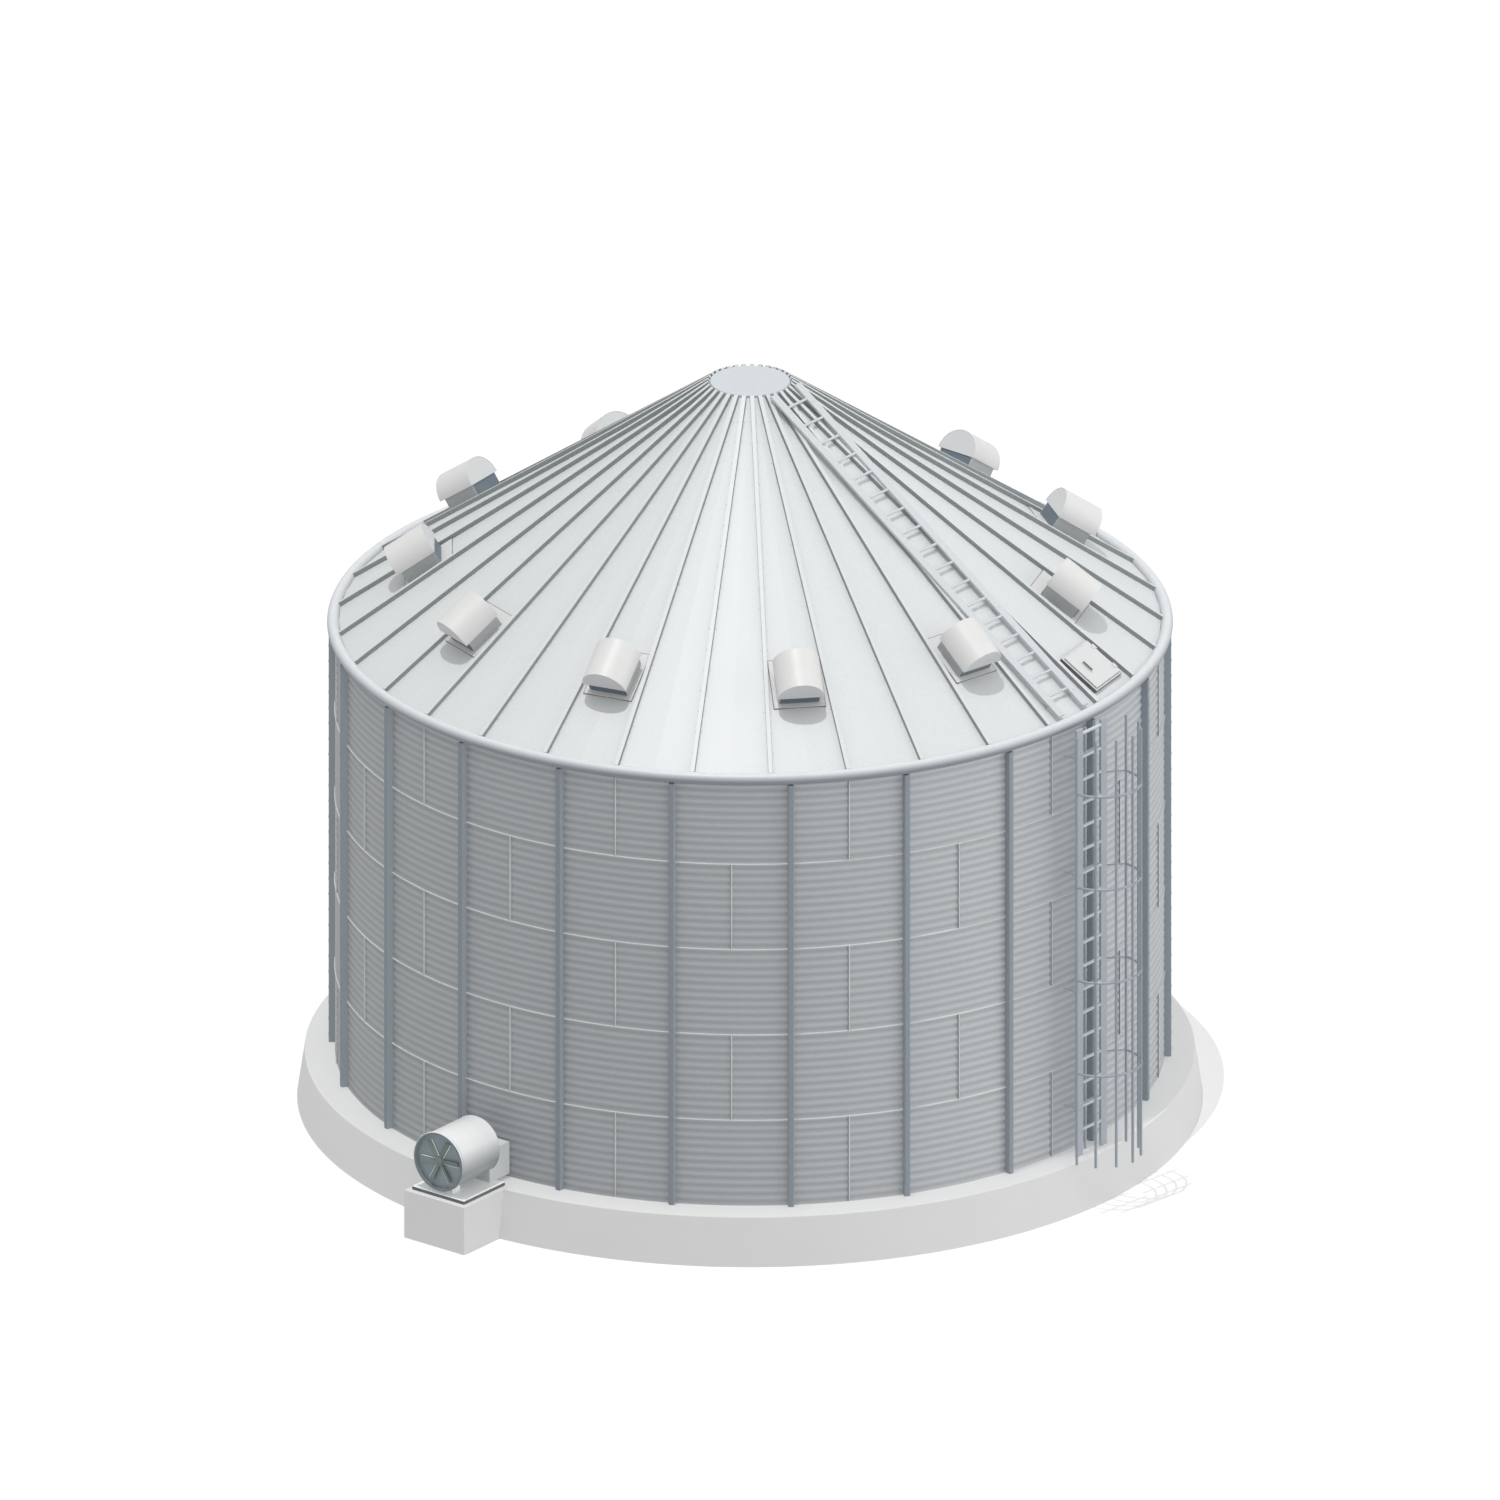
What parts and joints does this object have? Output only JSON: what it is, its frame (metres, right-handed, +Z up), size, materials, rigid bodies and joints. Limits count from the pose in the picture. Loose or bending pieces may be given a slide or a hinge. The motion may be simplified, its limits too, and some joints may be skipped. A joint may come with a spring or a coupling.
{
  "type": "grain silo",
  "caption": "Round corrugated steel farm grain bin on a concrete foundation: ribbed conical roof with vents and hatch, roof and caged wall ladders, and an aeration fan",
  "frame": {"origin": "centre of the foundation's underside, on the ground", "axes": "+Z up; the fan stands towards -Y and -X, the ladders towards +X and -Y"},
  "size_m": [10.98, 10.98, 9.3918],
  "materials": {
    "concrete": "pale smooth cast concrete, dry",
    "wall_sheet": "weathered galvanised steel sheet with a fine spangle, satin",
    "roof_sheet": "bright galvanised steel sheet, satin",
    "cap_sheet": "galvanised steel sheet, satin",
    "vent_sheet": "white coated sheet steel, satin",
    "eave_tube": "bluish galvanised tube, satin",
    "hatch_sheet": "white coated sheet steel, satin",
    "ladder_steel": "hot-dip galvanised steel, satin",
    "fan_case": "white coated steel, satin",
    "fan_inner": "blue-grey coated steel, satin",
    "fan_blades": "dark grey coated steel, satin"
  },
  "bodies": {
    "bin": {"foundation": "concrete", "wall_segment_01": "wall_sheet", "wall_segment_02": "wall_sheet", "wall_segment_03": "wall_sheet", "wall_segment_04": "wall_sheet", "wall_segment_05": "wall_sheet", "wall_segment_06": "wall_sheet", "wall_segment_07": "wall_sheet", "wall_segment_08": "wall_sheet", "wall_segment_09": "wall_sheet", "wall_segment_10": "wall_sheet", "wall_segment_11": "wall_sheet", "eave_ring": "eave_tube", "roof_sector_01": "roof_sheet", "roof_sector_02": "roof_sheet", "roof_sector_03": "roof_sheet", "roof_sector_04": "roof_sheet", "roof_sector_05": "roof_sheet", "roof_sector_06": "roof_sheet", "roof_sector_07": "roof_sheet", "roof_sector_08": "roof_sheet", "roof_sector_09": "roof_sheet", "roof_sector_10": "roof_sheet", "roof_sector_11": "roof_sheet", "peak_cap": "cap_sheet", "roof_vent_01": "vent_sheet", "roof_vent_02": "vent_sheet", "roof_vent_03": "vent_sheet", "roof_vent_04": "vent_sheet", "roof_vent_05": "vent_sheet", "roof_vent_06": "vent_sheet", "roof_vent_07": "vent_sheet", "roof_vent_08": "vent_sheet", "roof_vent_09": "vent_sheet", "roof_vent_10": "vent_sheet", "roof_vent_11": "vent_sheet", "hatch_frame": "hatch_sheet", "roof_ladder": "ladder_steel", "wall_ladder": "ladder_steel", "ladder_cage": "ladder_steel", "fan_pad": "concrete", "fan_base_plate": "fan_case", "fan_saddle": "fan_inner", "fan_transition": "fan_case", "fan_housing": "fan_case", "fan_backplate": "fan_inner"},
    "hatch_lid": {"hatch_lid": "hatch_sheet"},
    "fan_rotor": {"fan_rotor": "fan_blades"}
  },
  "joints": [
    {"name": "hatch_hinge", "type": "hinge", "parent": "bin", "child": "hatch_lid", "pos_m": [4.29911, -1.83763, 6.51837], "axis": [-0.7326, 0.3754, 0.5678], "range_deg": [0, 110]},
    {"name": "fan_spin", "type": "hinge", "parent": "bin", "child": "fan_rotor", "pos_m": [-3.76581, -4.74276, 1.08], "axis": [-0.6218, -0.7832, 0], "continuous": true}
  ]
}
